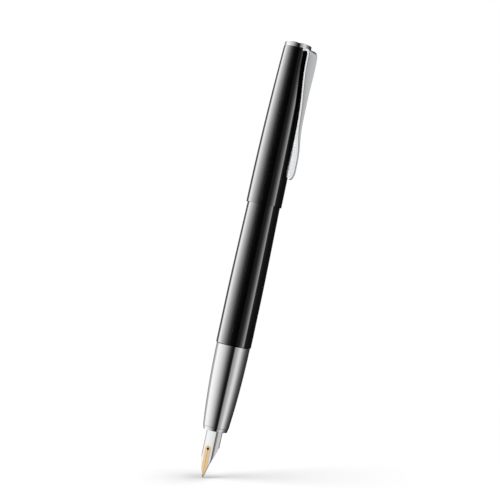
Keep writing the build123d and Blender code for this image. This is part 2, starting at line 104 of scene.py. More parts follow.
# a hair inside the frame's own lip
CAP_LIP_R = -span("cap_tube")[0][0] - 0.002 * MM
CAP_RIM_R = 4.93 * MM
CAP_POWER = 1.955
CAP_SEAT_R = 4.3 * MM
CAP_ROOF = 2.1 * MM
SCREW_HOLE_R = 1.1 * MM
NOTCH_HALF = 2.75 * MM
CROWN_TOP = span("cap_crown")[1][2]
CROWN_R = span("cap_crown")[1][0]
CROWN_DOME = 0.68 * MM
CROWN_SHOULDER = 0.22 * MM
CROWN_HOLE = 1.3 * MM
RING_SEAT = span("clip_ring")[0][2]
BARREL_FRONT = span("barrel_tube")[0][2]
BARREL_REAR = span("barrel_tube")[1][2]
BARREL_R = span("barrel_tube")[1][0]
BARREL_TAIL_R = 5.38 * MM
BARREL_STRAIGHT = 65.8 * MM
BARREL_POWER = 1.3
BARREL_WALL = 0.5 * MM
PLUG_WALL = 1.3 * MM
PLUG_ROOF = 1.0 * MM
PLUG_DEPTH = 4.0 * MM
PLUG_DOME = 0.8 * MM
GRIP_FRONT = span("grip_front_ring")[0][2]
RING_TOP = span("grip_front_ring")[1][2]
GRIP_REAR = span("grip_sleeve")[1][2]
GRIP_R = span("grip_sleeve")[1][0]
GRIP_NECK_R = 4.65 * MM
GRIP_POWER = 2.03
GRIP_GROOVE = 0.12 * MM
UNIT_HALF = span("nib")[1][0]
UNIT_FACE_Y = span("nib")[0][1]
UNIT_BACK_Y = span("feed")[1][1]
NIB_BEND_Z = 10.2 * MM
NIB_DROOP = 0.3 * MM
NIB_TIP_Z = 0.5 * MM
NIB_TAPER = 0.305
NIB_WALL, NIB_CORNER = 0.35 * MM, 0.6 * MM
NIB_CROWN = 0.12 * MM
HOLE_R = 0.5 * MM
SLIT_HALF = 0.03 * MM
SKIRT_START, SKIRT_LONG, SKIRT_DEEP = 6.4, 3.8, 2.7 * MM

# the clip in millimetres: heights, then what is found there, which is the distance of the inner side and of
# the outer side from the axis, and half the width
CLIP_INNER = ((112.0, 118.5, 126.5, 133.8, 141.0, 150.0, 153.4), (6.45, 6.75, 7.12, 7.0, 6.7, 6.4, 6.35))
CLIP_OUTER = ((112.6, 119.9, 126.0, 133.8, 141.0, 150.0, 153.6), (10.15, 9.85, 8.75, 8.2, 7.75, 7.4, 7.35))
CLIP_HALF_WIDTH = ((109.4, 112.0, 118.5, 125.6, 133.8, 141.0, 150.0, 156.0),
                   (0.4, 0.4, 0.4, 0.75, 1.15, 1.9, 2.85, 2.7))
CLIP_TOP, CLIP_FOOT, CLIP_FOOT_LONG = 153.4, 112.6, 3.2
TAB_HEIGHT, TAB_START_R, TAB_END_R, TAB_HALF_THICK = 155.55, 5.05, 5.6, 0.45

RADIAL = np.array([math.sin(CLIP_AZIMUTH), -math.cos(CLIP_AZIMUTH), 0.0])
TANGENT = np.array([math.cos(CLIP_AZIMUTH), math.sin(CLIP_AZIMUTH), 0.0])
AXIS = np.array([0.0, 0.0, 1.0])


# ---------------------------------------------------------------- surfaces as arrays
def grid_quads(rows, columns, wrap_rows=False):
    """Corner indices of the quads of a grid of rows by columns points, numbered row by row. The columns run
    round and meet; the rows do so too when wrap_rows is set."""
    r = np.arange(rows if wrap_rows else rows - 1)
    r, c = np.meshgrid(r, np.arange(columns), indexing="ij")
    r2, c2 = (r + 1) % rows, (c + 1) % columns
    corners = r * columns + c, r * columns + c2, r2 * columns + c2, r2 * columns + c
    return np.stack(corners, -1).reshape(-1, 4)


def mesh_object(name, points, quads, material, keep=None):
    """Mesh object from an array of points and one of quads. Equal points are merged, which closes seams and
    poles, and the faces are turned outwards. keep drops the quads where it is False."""
    if keep is not None:
        quads = quads[keep]
    mesh = bpy.data.meshes.new(name)
    mesh.from_pydata(points.reshape(-1, 3).tolist(), [], quads.tolist())
    work = bmesh.new()
    work.from_mesh(mesh)
    bmesh.ops.remove_doubles(work, verts=work.verts, dist=MERGE_DISTANCE)
    loose = [v for v in work.verts if not v.link_faces]
    bmesh.ops.delete(work, geom=loose, context="VERTS")
    bmesh.ops.recalc_face_normals(work, faces=work.faces)
    work.to_mesh(mesh)
    work.free()
    mesh.polygons.foreach_set("use_smooth", np.ones(len(mesh.polygons), bool))
    mesh.set_sharp_from_angle(angle=SHARP_ANGLE)
    mesh.materials.append(material)
    piece = bpy.data.objects.new(name, mesh)
    bpy.context.scene.collection.objects.link(piece)
    return piece


def place(piece, body, slot, *nodes):
    """Ride a finished piece on its body and let it stand for CAD nodes. slot, the name of its finish, is not
    used.
    """
    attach(piece, body)
    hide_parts(*nodes)


def refinish(node, material):
    """Give a CAD node that is shown as it stands a material of its own."""
    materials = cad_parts[node].data.materials
    materials.clear()
    materials.append(material)


def fill_ramp(ramp, places, strengths, strongest):
    """Grey stops of a color ramp at the given places, each as bright as its share of the strongest."""
    stops = ramp.color_ramp.elements
    stops = [stops[0], stops[1]] + [stops.new(0.5) for _ in places[2:]]
    for stop, place_at, strength in zip(stops, places, strengths):
        stop.position = place_at
        stop.color = (strength / strongest,) * 3 + (1,)


def round_corners(corners, radius, steps=5):
    """Open profile whose inner corners are replaced by arcs: each arc is a quadratic blend from radius before
    the corner to radius after it, shortened where a side is short. Corners are (radius, height) pairs."""
    p = np.array(corners, float)
    before, after = np.roll(p, 1, 0) - p, np.roll(p, -1, 0) - p
    long_b = np.linalg.norm(before, axis=1, keepdims=True)
    long_a = np.linalg.norm(after, axis=1, keepdims=True)
    reach = np.minimum(radius, 0.45 * np.minimum(long_a, long_b))
    start, end = p + before / long_b * reach, p + after / long_a * reach
    start[0] = end[0] = p[0]
    start[-1] = end[-1] = p[-1]
    t = np.linspace(0, 1, steps)[None, :, None]
    blend = start[:, None] * (1 - t) ** 2 + 2 * p[:, None] * t * (1 - t) + end[:, None] * t ** 2
    return blend.reshape(-1, 2)


def around(turns):
    """Angles evenly spaced round the axis."""
    return np.linspace(0, 2 * math.pi, turns, endpoint=False)


def lathe(profile, angles):
    """Points of a profile of (radius, height) pairs turned about the Z axis: x is radius times cosine, y is
    radius times sine and z is height."""
    r, h = profile[:, :1], profile[:, 1:]
    return np.stack([r * np.cos(angles), r * np.sin(angles), h + 0 * angles], -1)


def turned(name, profile, material, turns):
    """Closed turned piece from a closed profile."""
    points = lathe(profile, around(turns))
    quads = grid_quads(len(profile), turns, wrap_rows=True)
    return mesh_object(name, points, quads, material)


def smooth_curve(x, knots, values):
    """Natural cubic spline through a few (knot, value) pairs, read at x."""
    k, v = np.array(knots, float), np.array(values, float)
    h = np.diff(k)
    n = len(k)
    system, right = np.eye(n), np.zeros(n)
    for i in range(1, n - 1):
        system[i, i - 1:i + 2] = h[i - 1], 2 * (h[i - 1] + h[i]), h[i]
        right[i] = 6 * ((v[i + 1] - v[i]) / h[i] - (v[i] - v[i - 1]) / h[i - 1])
    m = np.linalg.solve(system, right)
    i = np.clip(np.searchsorted(k, x) - 1, 0, n - 2)
    a, b = (k[i + 1] - x), (x - k[i])
    return ((m[i] * a ** 3 + m[i + 1] * b ** 3) / (6 * h[i])
            + (v[i] / h[i] - m[i] * h[i] / 6) * a + (v[i + 1] / h[i] - m[i + 1] * h[i] / 6) * b)


# ---------------------------------------------------------------- the pen's own curves
def cap_radius(z):
    """Cap's outside: the lip radius less a drop that grows as nearly the square of the height."""
    s = (z - CAP_LIP) / (CAP_RIM - CAP_LIP)
    return CAP_LIP_R - (CAP_LIP_R - CAP_RIM_R) * np.clip(s, 0, 1) ** CAP_POWER


def barrel_radius(z):
    """Barrel's outside: a cylinder, then a drop that grows as a power of the height."""
    s = (z - BARREL_STRAIGHT) / (BARREL_REAR - BARREL_STRAIGHT)
    return BARREL_R - (BARREL_R - BARREL_TAIL_R) * np.clip(s, 0, 1) ** BARREL_POWER


def grip_radius(z):
    """Grip's outside: full at the rear, less a drop that grows as the square of the distance forwards."""
    s = (z - RING_TOP) / (GRIP_REAR - RING_TOP)
    return GRIP_R - (GRIP_R - GRIP_NECK_R) * (1 - np.clip(s, 0, 1)) ** GRIP_POWER


def flank(law, low, high, rows):
    """Column of (radius, height) pairs along one of the laws above."""
    z = np.linspace(low, high, rows)
    return np.stack([law(z), z], -1)


# ---------------------------------------------------------------- finishes
class Finish:
    """A material under construction: its node tree, its shader and short ways to add nodes."""

    def __init__(self, name, color, metallic, roughness):
        self.material = bpy.data.materials.new(name)
        self.material.use_nodes = True
        self.nodes = self.material.node_tree.nodes
        self.links = self.material.node_tree.links
        self.shader = self.nodes["Principled BSDF"]
        self.shader.inputs["Base Color"].default_value = (*color, 1)
        self.shader.inputs["Metallic"].default_value = metallic
        self.shader.inputs["Roughness"].default_value = roughness
        self.coordinates = self.nodes.new("ShaderNodeTexCoord").outputs["Object"]

    def link(self, source, target):
        self.links.new(source, target)
        return source

    def stretched(self, scale):
        """Object coordinates scaled by (x, y, z)."""
        mapping = self.nodes.new("ShaderNodeMapping")
        mapping.inputs["Scale"].default_value = scale
        self.link(self.coordinates, mapping.inputs["Vector"])
        return mapping.outputs["Vector"]

    def noise(self, scale, detail=3.0, vector=None, roughness=0.5):
        node = self.nodes.new("ShaderNodeTexNoise")
        node.inputs["Scale"].default_value = scale
        node.inputs["Detail"].default_value = detail
        node.inputs["Roughness"].default_value = roughness
        self.link(vector or self.coordinates, node.inputs["Vector"])
        return node.outputs["Fac"]

    def spread(self, source, low, high, start=0.0, end=1.0):
        """source, remapped from start..end to low..high."""
        node = self.nodes.new("ShaderNodeMapRange")
        node.inputs["From Min"].default_value = start
        node.inputs["From Max"].default_value = end
        node.inputs["To Min"].default_value = low
        node.inputs["To Max"].default_value = high
        self.link(source, node.inputs["Value"])
        return node.outputs["Result"]

    def maths(self, operation, first, second=None):
        node = self.nodes.new("ShaderNodeMath")
        node.operation = operation
        for socket, value in zip(node.inputs, (first, second)):
            if isinstance(value, (int, float)):
                socket.default_value = value
            elif value is not None:
                self.link(value, socket)
        return node.outputs["Value"]

    def mix(self, factor, first, second):
        """Colour that goes from first to second as factor goes from 0 to 1."""
        node = self.nodes.new("ShaderNodeMix")
        node.data_type = "RGBA"
        self.link(factor, node.inputs["Factor"])
        for socket, value in ((node.inputs[6], first), (node.inputs[7], second)):
            if isinstance(value, tuple):
                socket.default_value = (*value, 1)
            else:
                self.link(value, socket)
        return node.outputs[2]

    def color(self, source):
        self.link(source, self.shader.inputs["Base Color"])

    def roughness(self, source):
        self.link(source, self.shader.inputs["Roughness"])

    def bump(self, height, strength, distance):
        node = self.nodes.new("ShaderNodeBump")
        node.inputs["Strength"].default_value = strength
        node.inputs["Distance"].default_value = distance
        self.link(height, node.inputs["Height"])
        self.link(node.outputs["Normal"], self.shader.inputs["Normal"])


def lacquer_finish(name, color):
    """Polished near-black lacquer with faint polishing haze and a very slight ripple."""
    f = Finish(name, color, 0.0, 0.06)
    f.shader.inputs["IOR"].default_value = 1.35
    f.roughness(f.spread(f.noise(900, 4), 0.035, 0.085))
    f.color(f.mix(f.noise(140, 2), color, tuple(c * 2.0 for c in color)))
    f.bump(f.noise(220, 2), 0.04, 0.00002)
    return f.material


def turned_metal_finish(name, color, low, high, grain=0.25):
    """Polished or plated metal with fine lines that run round the axis, and a slight change of tone."""
    f = Finish(name, color, 1.0, low)
    lines = f.noise(1, 2, f.stretched((220, 220, 16000)))
    haze = f.noise(260, 3)
    wear = f.maths("ADD", f.maths("MULTIPLY", lines, 0.6), f.maths("MULTIPLY", haze, 0.4))
    f.roughness(f.spread(wear, low, high))
    f.color(f.mix(haze, tuple(c * 0.95 for c in color), color))
    f.bump(lines, grain, 0.000004)
    return f.material


def drawn_metal_finish(name, color, low, high):
    """Satin steel with fine lines that run along the clip."""
    f = Finish(name, color, 1.0, low)
    lines = f.noise(1, 3, f.stretched((9000, 9000, 260)))
    f.roughness(f.spread(lines, low, high))
    f.color(f.mix(lines, tuple(c * 0.93 for c in color), color))
    f.bump(lines, 0.18, 0.000005)
    return f.material


def nib_finish(name, white, gold):
    """Two-tone nib: the attribute gold_field is positive inside the gold, with a darker line along its
    border, and painted_line_shade darkens the slit's edges with painted shade and the folds with a painted
    dark reflection. Fine burnishing runs lengthwise."""
    f = Finish(name, white, 1.0, 0.2)
    attribute = f.nodes.new("ShaderNodeAttribute")
    attribute.attribute_name = "gold_field"
    border = f.spread(attribute.outputs["Fac"], 0, 1, -0.00002, 0.00002)
    rim = f.spread(f.maths("ABSOLUTE", attribute.outputs["Fac"]), 1, 0, 0.00003, 0.0001)
    # painted shade along the slit and a painted dark reflection along the folds, read from painted_line_shade
    slit = f.nodes.new("ShaderNodeAttribute")
    slit.attribute_name = "painted_line_shade"
    border_line_and_painted_shade = f.maths("MAXIMUM", f.maths("MULTIPLY", rim, 0.45), slit.outputs["Fac"])
    lines = f.noise(1, 2, f.stretched((14000, 14000, 500)))
    # the dark colour paints the shade at the slit and the reflection at the folds, and the gold border's line
    f.color(f.mix(border_line_and_painted_shade, f.mix(border, white, gold), (0.11, 0.105, 0.1)))
    f.roughness(f.spread(lines, 0.14, 0.26))
    f.bump(lines, 0.12, 0.000003)
    return f.material


def plastic_finish(name, color, low, high, grain=0.1):
    """Moulded or machined plastic with a fine satin grain."""
    f = Finish(name, color, 0.0, low)
    haze = f.noise(1800, 3)
    f.roughness(f.spread(haze, low, high))
    f.color(f.mix(f.noise(300, 2), color, tuple(c * 1.25 for c in color)))
    f.bump(haze, grain, 0.00001)
    return f.material


def clear_finish(name, color):
    """Clear moulded tube with a slight haze."""
    f = Finish(name, color, 0.0, 0.06)
    f.shader.inputs["Transmission Weight"].default_value = 0.9
    f.shader.inputs["IOR"].default_value = 1.49
    f.roughness(f.spread(f.noise(500, 2), 0.03, 0.1))
    return f.material


# ---------------------------------------------------------------- settings
def swatch(label, detail, value):
    """Colour setting with a name and a description."""
    return FloatVectorProperty(name=label, description=detail, subtype="COLOR", size=3, min=0, max=1,
                               default=value)


class PenFinishes(PropertyGroup):
    """Colours of the pen's finishes."""

    lacquer: swatch("Lacquer", "Colour of the cap's and barrel's lacquer", (0.0006, 0.0006, 0.0007))
    plate: swatch("Plate", "Colour of the grip's plating", (0.82, 0.82, 0.83))
    chrome: swatch("Chrome", "Colour of the crown", (0.80, 0.81, 0.82))
    steel: swatch("Steel", "Colour of the clip", (0.68, 0.69, 0.70))
    nib_white: swatch("Nib plating", "Colour of the nib's pale plating", (0.78, 0.78, 0.78))
    nib_gold: swatch("Nib gold", "Colour of the nib's gold field", (0.74, 0.53, 0.28))
    rubber: swatch("Hard rubber", "Colour of the feed and the core", (0.012, 0.012, 0.013))
    brass: swatch("Brass", "Colour of the thread insert", (0.80, 0.58, 0.25))


class PenSizes(PropertyGroup):
    """Sizes of details that the frame leaves open."""

    edge: FloatProperty(name="Edge rounding", description="Rounding of turned edges", unit="LENGTH",
                        precision=5, default=0.12 * MM)
    clip_edge: FloatProperty(name="Clip edge", description="Rounding of the clip's long edges", unit="LENGTH",
                             precision=5, default=0.26 * MM)
    gold_half: FloatProperty(name="Gold strip", description="Half the width of the gold strip on the nib",
                             unit="LENGTH", precision=5, default=1.1 * MM)
    turns: IntProperty(name="Facets", description="Facets round a turned piece", default=192, min=48, max=512)


class PenStudio(PropertyGroup):
    """Camera and floor of the studio."""

    distance: FloatProperty(name="Distance", description="Camera's distance from the pen", unit="LENGTH",
                            default=0.5)
    lens: FloatProperty(name="Lens", description="Focal length in millimetres", default=101.0)
    floor_radius: FloatProperty(name="Floor radius", description="Radius of the floor disc", unit="LENGTH",
                                default=0.11)


# ---------------------------------------------------------------- stage
def lit_alone(name):
    """Collection of the pieces that a panel of the studio lights and no other piece."""
    return bpy.data.collections.get(name) or bpy.data.collections.new(name)


def studio_axes():
    """Right, up and back directions of the camera's view in the pen's frame, and the side that is square to
    the pen's axis."""
    side = np.array([math.cos(CAMERA_AZIMUTH), math.sin(CAMERA_AZIMUTH), 0.0])
    back = np.array([math.sin(CAMERA_AZIMUTH), -math.cos(CAMERA_AZIMUTH), 0.0])
    right = math.cos(LEAN) * side + math.sin(LEAN) * AXIS
    up = math.cos(LEAN) * AXIS - math.sin(LEAN) * side
    return right, up, back, side


class PEN_OT_stage(Operator):
    """Camera, surrounding light, panels and lamps, and a pale floor just under the leaning pen's tip"""

    bl_idname = "pen.stage"
    bl_label = "Stage"

    def execute(self, context):
        studio = context.scene.pen_studio
        right, up, back, side = studio_axes()
        data = bpy.data.cameras.new("camera")
        data.lens = studio.lens
        data.sensor_width = 36.0
        data.clip_start, data.clip_end = 0.01, 10
        camera = bpy.data.objects.new("camera", data)
        context.scene.collection.objects.link(camera)
        aim = np.array([0, 0, AIM_Z]) - AIM_LEFT * side
        camera.matrix_world = Matrix([[*row] for row in np.vstack([
            np.column_stack([right, up, back, aim + back * studio.distance]), [0, 0, 0, 1]])])
        context.scene.camera = camera
        self.light_world(context)
        for panel in PANELS:
            self.hang_panel(*panel)
        for name, lean, size, power in OVERHEADS:
            self.hang_overhead(name, right, up, lean, size, power)
        self.lay_floor(context, right, up, back)
        return {"FINISHED"}

    def light_world(self, context):
        """Surroundings as a function of the bearing from the camera: a wide soft panel on the left that fades
        towards the camera, a grey panel on the right, and light from above. Seen directly they are white."""
        world = bpy.data.worlds.new("studio")
        context.scene.world = world
        world.use_nodes = True
        nodes, links = world.node_tree.nodes, world.node_tree.links
        nodes.clear()

        def maths(operation, *values):
            node = nodes.new("ShaderNodeMath")
            node.operation = operation
            for socket, value in zip(node.inputs, values):
                if isinstance(value, (int, float)):
                    socket.default_value = value
                else:
                    links.new(value, socket)
            return node.outputs["Value"]

        def ramp(value, low, high, first=0.0, last=1.0):
            node = nodes.new("ShaderNodeMapRange")
            node.interpolation_type = "SMOOTHSTEP"
            links.new(value, node.inputs["Value"])
            for key, number in (("From Min", low), ("From Max", high), ("To Min", first), ("To Max", last)):
                node.inputs[key].default_value = number
            return node.outputs["Result"]

        direction = nodes.new("ShaderNodeSeparateXYZ")
        links.new(nodes.new("ShaderNodeTexCoord").outputs["Generated"], direction.inputs["Vector"])
        x, y, z = (direction.outputs[k] for k in "XYZ")
        c, s = math.cos(CAMERA_AZIMUTH), math.sin(CAMERA_AZIMUTH)
        across = maths("ADD", maths("MULTIPLY", x, c), maths("MULTIPLY", y, s))
        towards = maths("SUBTRACT", maths("MULTIPLY", x, s), maths("MULTIPLY", y, c))
        turn = maths("MULTIPLY", maths("ARCTAN2", across, towards), 180 / math.pi)
        ring = nodes.new("ShaderNodeValToRGB")
        links.new(maths("ADD", maths("DIVIDE", turn, 360), 0.5), ring.inputs["Fac"])
        bearings, strengths = zip(*SURROUNDINGS)
        fill_ramp(ring, [degrees / 360 + 0.5 for degrees in bearings], strengths, BRIGHTEST)
        level = maths("SUBTRACT", 1.0, ramp(maths("ABSOLUTE", z), 0.6, 0.85))
        sides = maths("MULTIPLY", level, maths("MULTIPLY", ring.outputs["Color"], BRIGHTEST))
        above = ramp(z, 0.6, 0.95, 0.0, 1.5)
        total = maths("ADD", sides, above)
        light = nodes.new("ShaderNodeBackground")
        links.new(total, light.inputs["Strength"])
        white = nodes.new("ShaderNodeBackground")
        white.inputs["Color"].default_value = (1, 1, 1, 1)
        mixer = nodes.new("ShaderNodeMixShader")
        links.new(nodes.new("ShaderNodeLightPath").outputs["Is Camera Ray"], mixer.inputs["Fac"])
        links.new(light.outputs[0], mixer.inputs[1])
        links.new(white.outputs[0], mixer.inputs[2])
        links.new(mixer.outputs[0], nodes.new("ShaderNodeOutputWorld").inputs["Surface"])
        context.scene.view_settings.view_transform = "Standard"

    def hang_panel(self, name, levels, group):
        """Upright area light beside the pen whose strength runs through levels, a table of bearing and
        strength. Its place on the panel is turned back into a bearing, as the arc tangent of offset over
        distance."""
        bearings, strengths = np.array(levels, float).T
        strongest = strengths.max()
        middle, half = math.radians(bearings[[0, -1]].mean()), math.radians(np.ptp(bearings) / 2)
        data = bpy.data.lights.new(name, "AREA")
        data.shape = "RECTANGLE"
        data.size, data.size_y = 2 * PANEL_DISTANCE * math.tan(half), PANEL_HEIGHT
        data.energy = math.pi * data.size * data.size_y
        data.use_nodes = True
        nodes, links = data.node_tree.nodes, data.node_tree.links
        place_on = nodes.new("ShaderNodeSeparateXYZ")
        links.new(nodes.new("ShaderNodeNewGeometry").outputs["Parametric"], place_on.inputs["Vector"])
        ramp = nodes.new("ShaderNodeValToRGB")
        links.new(place_on.outputs["X"], ramp.inputs["Fac"])
        offsets = np.tan(np.radians(bearings) - middle) / math.tan(half) / 2 + 0.5
        fill_ramp(ramp, offsets, strengths, strongest)
        strength = nodes.new("ShaderNodeMath")
        strength.operation = "MULTIPLY"
        strength.inputs[1].default_value = strongest
        links.new(ramp.outputs["Color"], strength.inputs[0])
        links.new(strength.outputs["Value"], nodes["Emission"].inputs["Strength"])
        bearing = CAMERA_AZIMUTH + middle
        out = Vector((math.sin(bearing), -math.cos(bearing), 0))
        lamp = bpy.data.objects.new(name, data)
        lamp.location = out * PANEL_DISTANCE + Vector((0, 0, PANEL_MIDDLE_Z))
        lamp.rotation_euler = out.to_track_quat("Z", "Y").to_euler()
        lamp.visible_camera = False
        lamp.light_linking.receiver_collection = lit_alone(group)
        bpy.context.scene.collection.objects.link(lamp)

    def hang_overhead(self, name, right, up, lean, size, power):
        """Soft light above the floor, leaning to the right of the camera's upright by an angle in degrees. It
        draws the pen's shadow and is not reflected in the pen."""
        out = Vector(up * math.cos(math.radians(lean)) + right * math.sin(math.radians(lean)))
        data = bpy.data.lights.new(name, "AREA")
        data.shape = "DISK"
        data.size = size
        data.energy = power
        lamp = bpy.data.objects.new(name, data)
        lamp.location = out * OVERHEAD_DISTANCE
        lamp.rotation_euler = out.to_track_quat("Z", "Y").to_euler()
        lamp.visible_camera = False
        lamp.visible_glossy = False
        bpy.context.scene.collection.objects.link(lamp)

    def lay_floor(self, context, right, up, back):
        """Flat disc just under the writing tip, level across the camera's view and tipped slightly towards
        the camera."""
        normal = math.cos(FLOOR_RISE) * up + math.sin(FLOOR_RISE) * back
        ahead = np.cross(right, normal)
        tip = np.array([0, UNIT_FACE_Y + NIB_DROOP, 0]) - FLOOR_GAP * up
        rings = np.linspace(0, context.scene.pen_studio.floor_radius, FLOOR_RINGS)[:, None, None]
        a = around(FLOOR_SPOKES)[None, :, None]
        points = tip + rings * (np.cos(a) * right + np.sin(a) * ahead)
        f = Finish("floor_paper", (0.62, 0.62, 0.62), 0.0, 0.8)
        f.color(f.mix(f.noise(60, 2), (0.615, 0.615, 0.615), (0.625, 0.625, 0.625)))
        floor = mesh_object("floor", points, grid_quads(FLOOR_RINGS, FLOOR_SPOKES), f.material)
        if Vector(floor.data.polygons[0].normal).dot(Vector(normal)) < 0:
            floor.data.flip_normals()
        floor.visible_glossy = False


# ---------------------------------------------------------------- cap
class PEN_OT_cap(Operator):
    """Lacquered cap tube with its notch for the clip's tab: the curve of cap_radius turned about the axis"""

    bl_idname = "pen.cap"
    bl_label = "Cap"

    def execute(self, context):
        sizes, finishes = context.scene.pen_sizes, context.scene.pen_finishes
        lacquer = lacquer_finish("lacquer", tuple(finishes.lacquer))
        edge = sizes.edge
        outer = flank(cap_radius, CAP_LIP + edge, CAP_RIM - edge, 90)
        inner_corners = np.array([
            (CAP_RIM_R - edge, CAP_RIM), (CAP_SEAT_R, CAP_RIM), (CAP_SEAT_R, RING_SEAT),
            (SCREW_HOLE_R, RING_SEAT), (SCREW_HOLE_R, CAP_RIM - CAP_ROOF), (4.5 * MM, CAP_RIM - CAP_ROOF),
            (5.55 * MM, CAP_LIP + 28.9 * MM),
            (6.08 * MM, CAP_LIP + 8.9 * MM), (6.08 * MM, CAP_LIP + 0.05 * MM), (6.13 * MM, CAP_LIP),
            (CAP_LIP_R - edge, CAP_LIP)])
        t = np.linspace(0, math.pi / 2, 6)[1:-1]
        lip = np.stack([CAP_LIP_R - edge + edge * np.sin(t), CAP_LIP + edge - edge * np.cos(t)], -1)
        rim = np.stack([CAP_RIM_R - edge + edge * np.cos(t), CAP_RIM - edge + edge * np.sin(t)], -1)
        profile = np.vstack([outer, rim, inner_corners, lip])
        angles, notch = self.notched_angles(sizes.turns)
        points = lathe(profile, angles)
        points[:, notch, 2] = np.where(points[:, notch, 2] > RING_SEAT, RING_SEAT, points[:, notch, 2])
        quads = grid_quads(len(profile), len(angles), wrap_rows=True)
        tube = mesh_object("cap_shell", points, quads, lacquer)
        place(tube, "cap", "black_lacquer", "cap_tube")
        lit_alone("lacquered_pieces").objects.link(tube)
        return {"FINISHED"}

    def notched_angles(self, turns):
        """Angles round the cap, crowded at the two sides of the notch, and which of them lie in the notch."""
        middle = math.atan2(RADIAL[1], RADIAL[0])
        half = math.asin(NOTCH_HALF / CAP_RIM_R)
        hair = 2e-4
        inside = np.linspace(-half, half, 20)
        outside = np.linspace(half + hair, 2 * math.pi - half - hair, turns)
        angles = np.concatenate([inside, outside]) + middle
        return angles, np.arange(len(inside))


# ---------------------------------------------------------------- crown
class PEN_OT_crown(Operator):
    """Polished crown: a short band under a shallow dome, which falls as the square of the radius"""

    bl_idname = "pen.crown"
    bl_label = "Crown"

    def execute(self, context):
        sizes, finishes = context.scene.pen_sizes, context.scene.pen_finishes
        chrome = turned_metal_finish("crown_chrome", tuple(finishes.chrome), 0.05, 0.12, 0.05)
        r, base, top = CROWN_R, CAP_RIM, CROWN_TOP
        edge_z = top - CROWN_DOME
        s = np.linspace(0, 1, 28)
        dome = np.stack([(r - CROWN_SHOULDER) * (1 - s), edge_z + (top - edge_z) * (1 - (1 - s) ** 2)], -1)
        corners = [(SCREW_HOLE_R, base), (r, base), (r, edge_z - 0.02 * MM), (r - CROWN_SHOULDER, edge_z)]
        band = round_corners(corners, 0.16 * MM)
        hole = np.array([(0, base + CROWN_HOLE), (SCREW_HOLE_R, base + CROWN_HOLE)])
        profile = np.vstack([band, dome[1:], hole])
        crown = turned("crown", profile, chrome, sizes.turns)
        place(crown, "cap", "polished_chrome", "cap_crown")
        return {"FINISHED"}


# ---------------------------------------------------------------- clip
def rounded_section(half_thick, half_wide, edge, steps=6):
    """Rounded rectangles, one row for each half thickness and half width, as (thickness, width) offsets.
    Each corner is a quarter turn of radius edge, shortened where the rectangle is small."""
    turn = np.linspace(0, math.pi / 2, steps)
    quarter = np.stack([np.cos(turn), np.sin(turn)], -1)
    corners = []
    for k, (sx, sy) in enumerate(((1, 1), (-1, 1), (-1, -1), (1, -1))):
        arc = quarter if k % 2 == 0 else quarter[::-1]
        corners.append(np.stack([sx * arc[:, 0], sy * arc[:, 1]], -1))
    arcs = np.concatenate(corners)
    signs = np.sign(np.repeat([[1, 1], [-1, 1], [-1, -1], [1, -1]], steps, 0))
    e = np.minimum(edge, 0.9 * np.minimum(half_thick, half_wide))[:, None, None]
    half = np.stack([half_thick, half_wide], -1)[:, None, :]
    return signs[None] * (half - e) + arcs[None] * e


class PEN_OT_clip(Operator):
    """Solid steel clip, wide and thin at the top and narrow and deep at its foot: a rounded rectangle swept
    along a bend and a blade whose thickness and width follow cubic splines. Also the finish of the ring it
    hangs on"""

    bl_idname = "pen.clip"
    bl_label = "Clip"

    def execute(self, context):
        sizes, finishes = context.scene.pen_sizes, context.scene.pen_finishes
        steel = drawn_metal_finish("clip_steel", tuple(finishes.steel), 0.16, 0.3)
        z = np.linspace(CLIP_TOP, CLIP_FOOT, 110)
        r_in, r_out = smooth_curve(z, *CLIP_INNER), smooth_curve(z, *CLIP_OUTER)
        middle, thick = (r_in + r_out) / 2, (r_out - r_in) / 2
        # the foot: the blade's edges close in as a half ellipse
        fall = np.sin(np.linspace(0, math.pi / 2, 26))[1:]
        foot_z = CLIP_FOOT - CLIP_FOOT_LONG * fall
        foot_thick = thick[-1] * np.sqrt(np.maximum(0, 1 - fall ** 2))
        foot_middle = middle[-1] + 0 * fall
        # the bend: a quarter turn from the tab outwards to the blade
        turn = np.linspace(0, math.pi / 2, 26)[:-1]
        reach, drop = middle[0] - TAB_END_R, TAB_HEIGHT - CLIP_TOP
        arc_r = TAB_END_R + reach * np.sin(turn)
        arc_z = CLIP_TOP + drop * np.cos(turn)
        lead_r = np.linspace(TAB_START_R, TAB_END_R, 6)[:-1]
        path_r = np.concatenate([lead_r, arc_r, middle, foot_middle])
        path_z = np.concatenate([lead_r * 0 + TAB_HEIGHT, arc_z, z, foot_z])
        slope = np.stack([np.gradient(path_r), np.gradient(path_z)], -1)
        slope /= np.linalg.norm(slope, axis=1, keepdims=True)
        blade = len(z) + len(foot_z)
        slope[-blade:] = (0, -1)
        normal = np.stack([-slope[:, 1], slope[:, 0]], -1)
        bend_thick = TAB_HALF_THICK + (thick[0] - TAB_HALF_THICK) * np.sin(turn) ** 2
        half_thick = np.concatenate([lead_r * 0 + TAB_HALF_THICK, bend_thick, thick, foot_thick])
        known = np.clip(path_z, CLIP_HALF_WIDTH[0][0], CLIP_HALF_WIDTH[0][-1])
        half_wide = smooth_curve(known, *CLIP_HALF_WIDTH)
        section = rounded_section(half_thick, half_wide, sizes.clip_edge / MM)
        across = section[..., 0][..., None] * normal[:, None]
        r = path_r[:, None] + across[..., 0]
        h = path_z[:, None] + across[..., 1]
        wide = section[..., 1]
        points = MM * (r[..., None] * RADIAL + wide[..., None] * TANGENT + h[..., None] * AXIS)
        columns = points.shape[1]
        start = np.broadcast_to(points[0].mean(0), (1, columns, 3))
        end = np.broadcast_to(points[-1].mean(0), (1, columns, 3))
        points = np.concatenate([start, points, end])
        clip = mesh_object("clip_blade", points, grid_quads(len(points), columns), steel)
        place(clip, "clip_blade", "clip_steel", "clip")
        lit_alone("steel_pieces").objects.link(clip)
        refinish("clip_ring", steel)
        return {"FINISHED"}


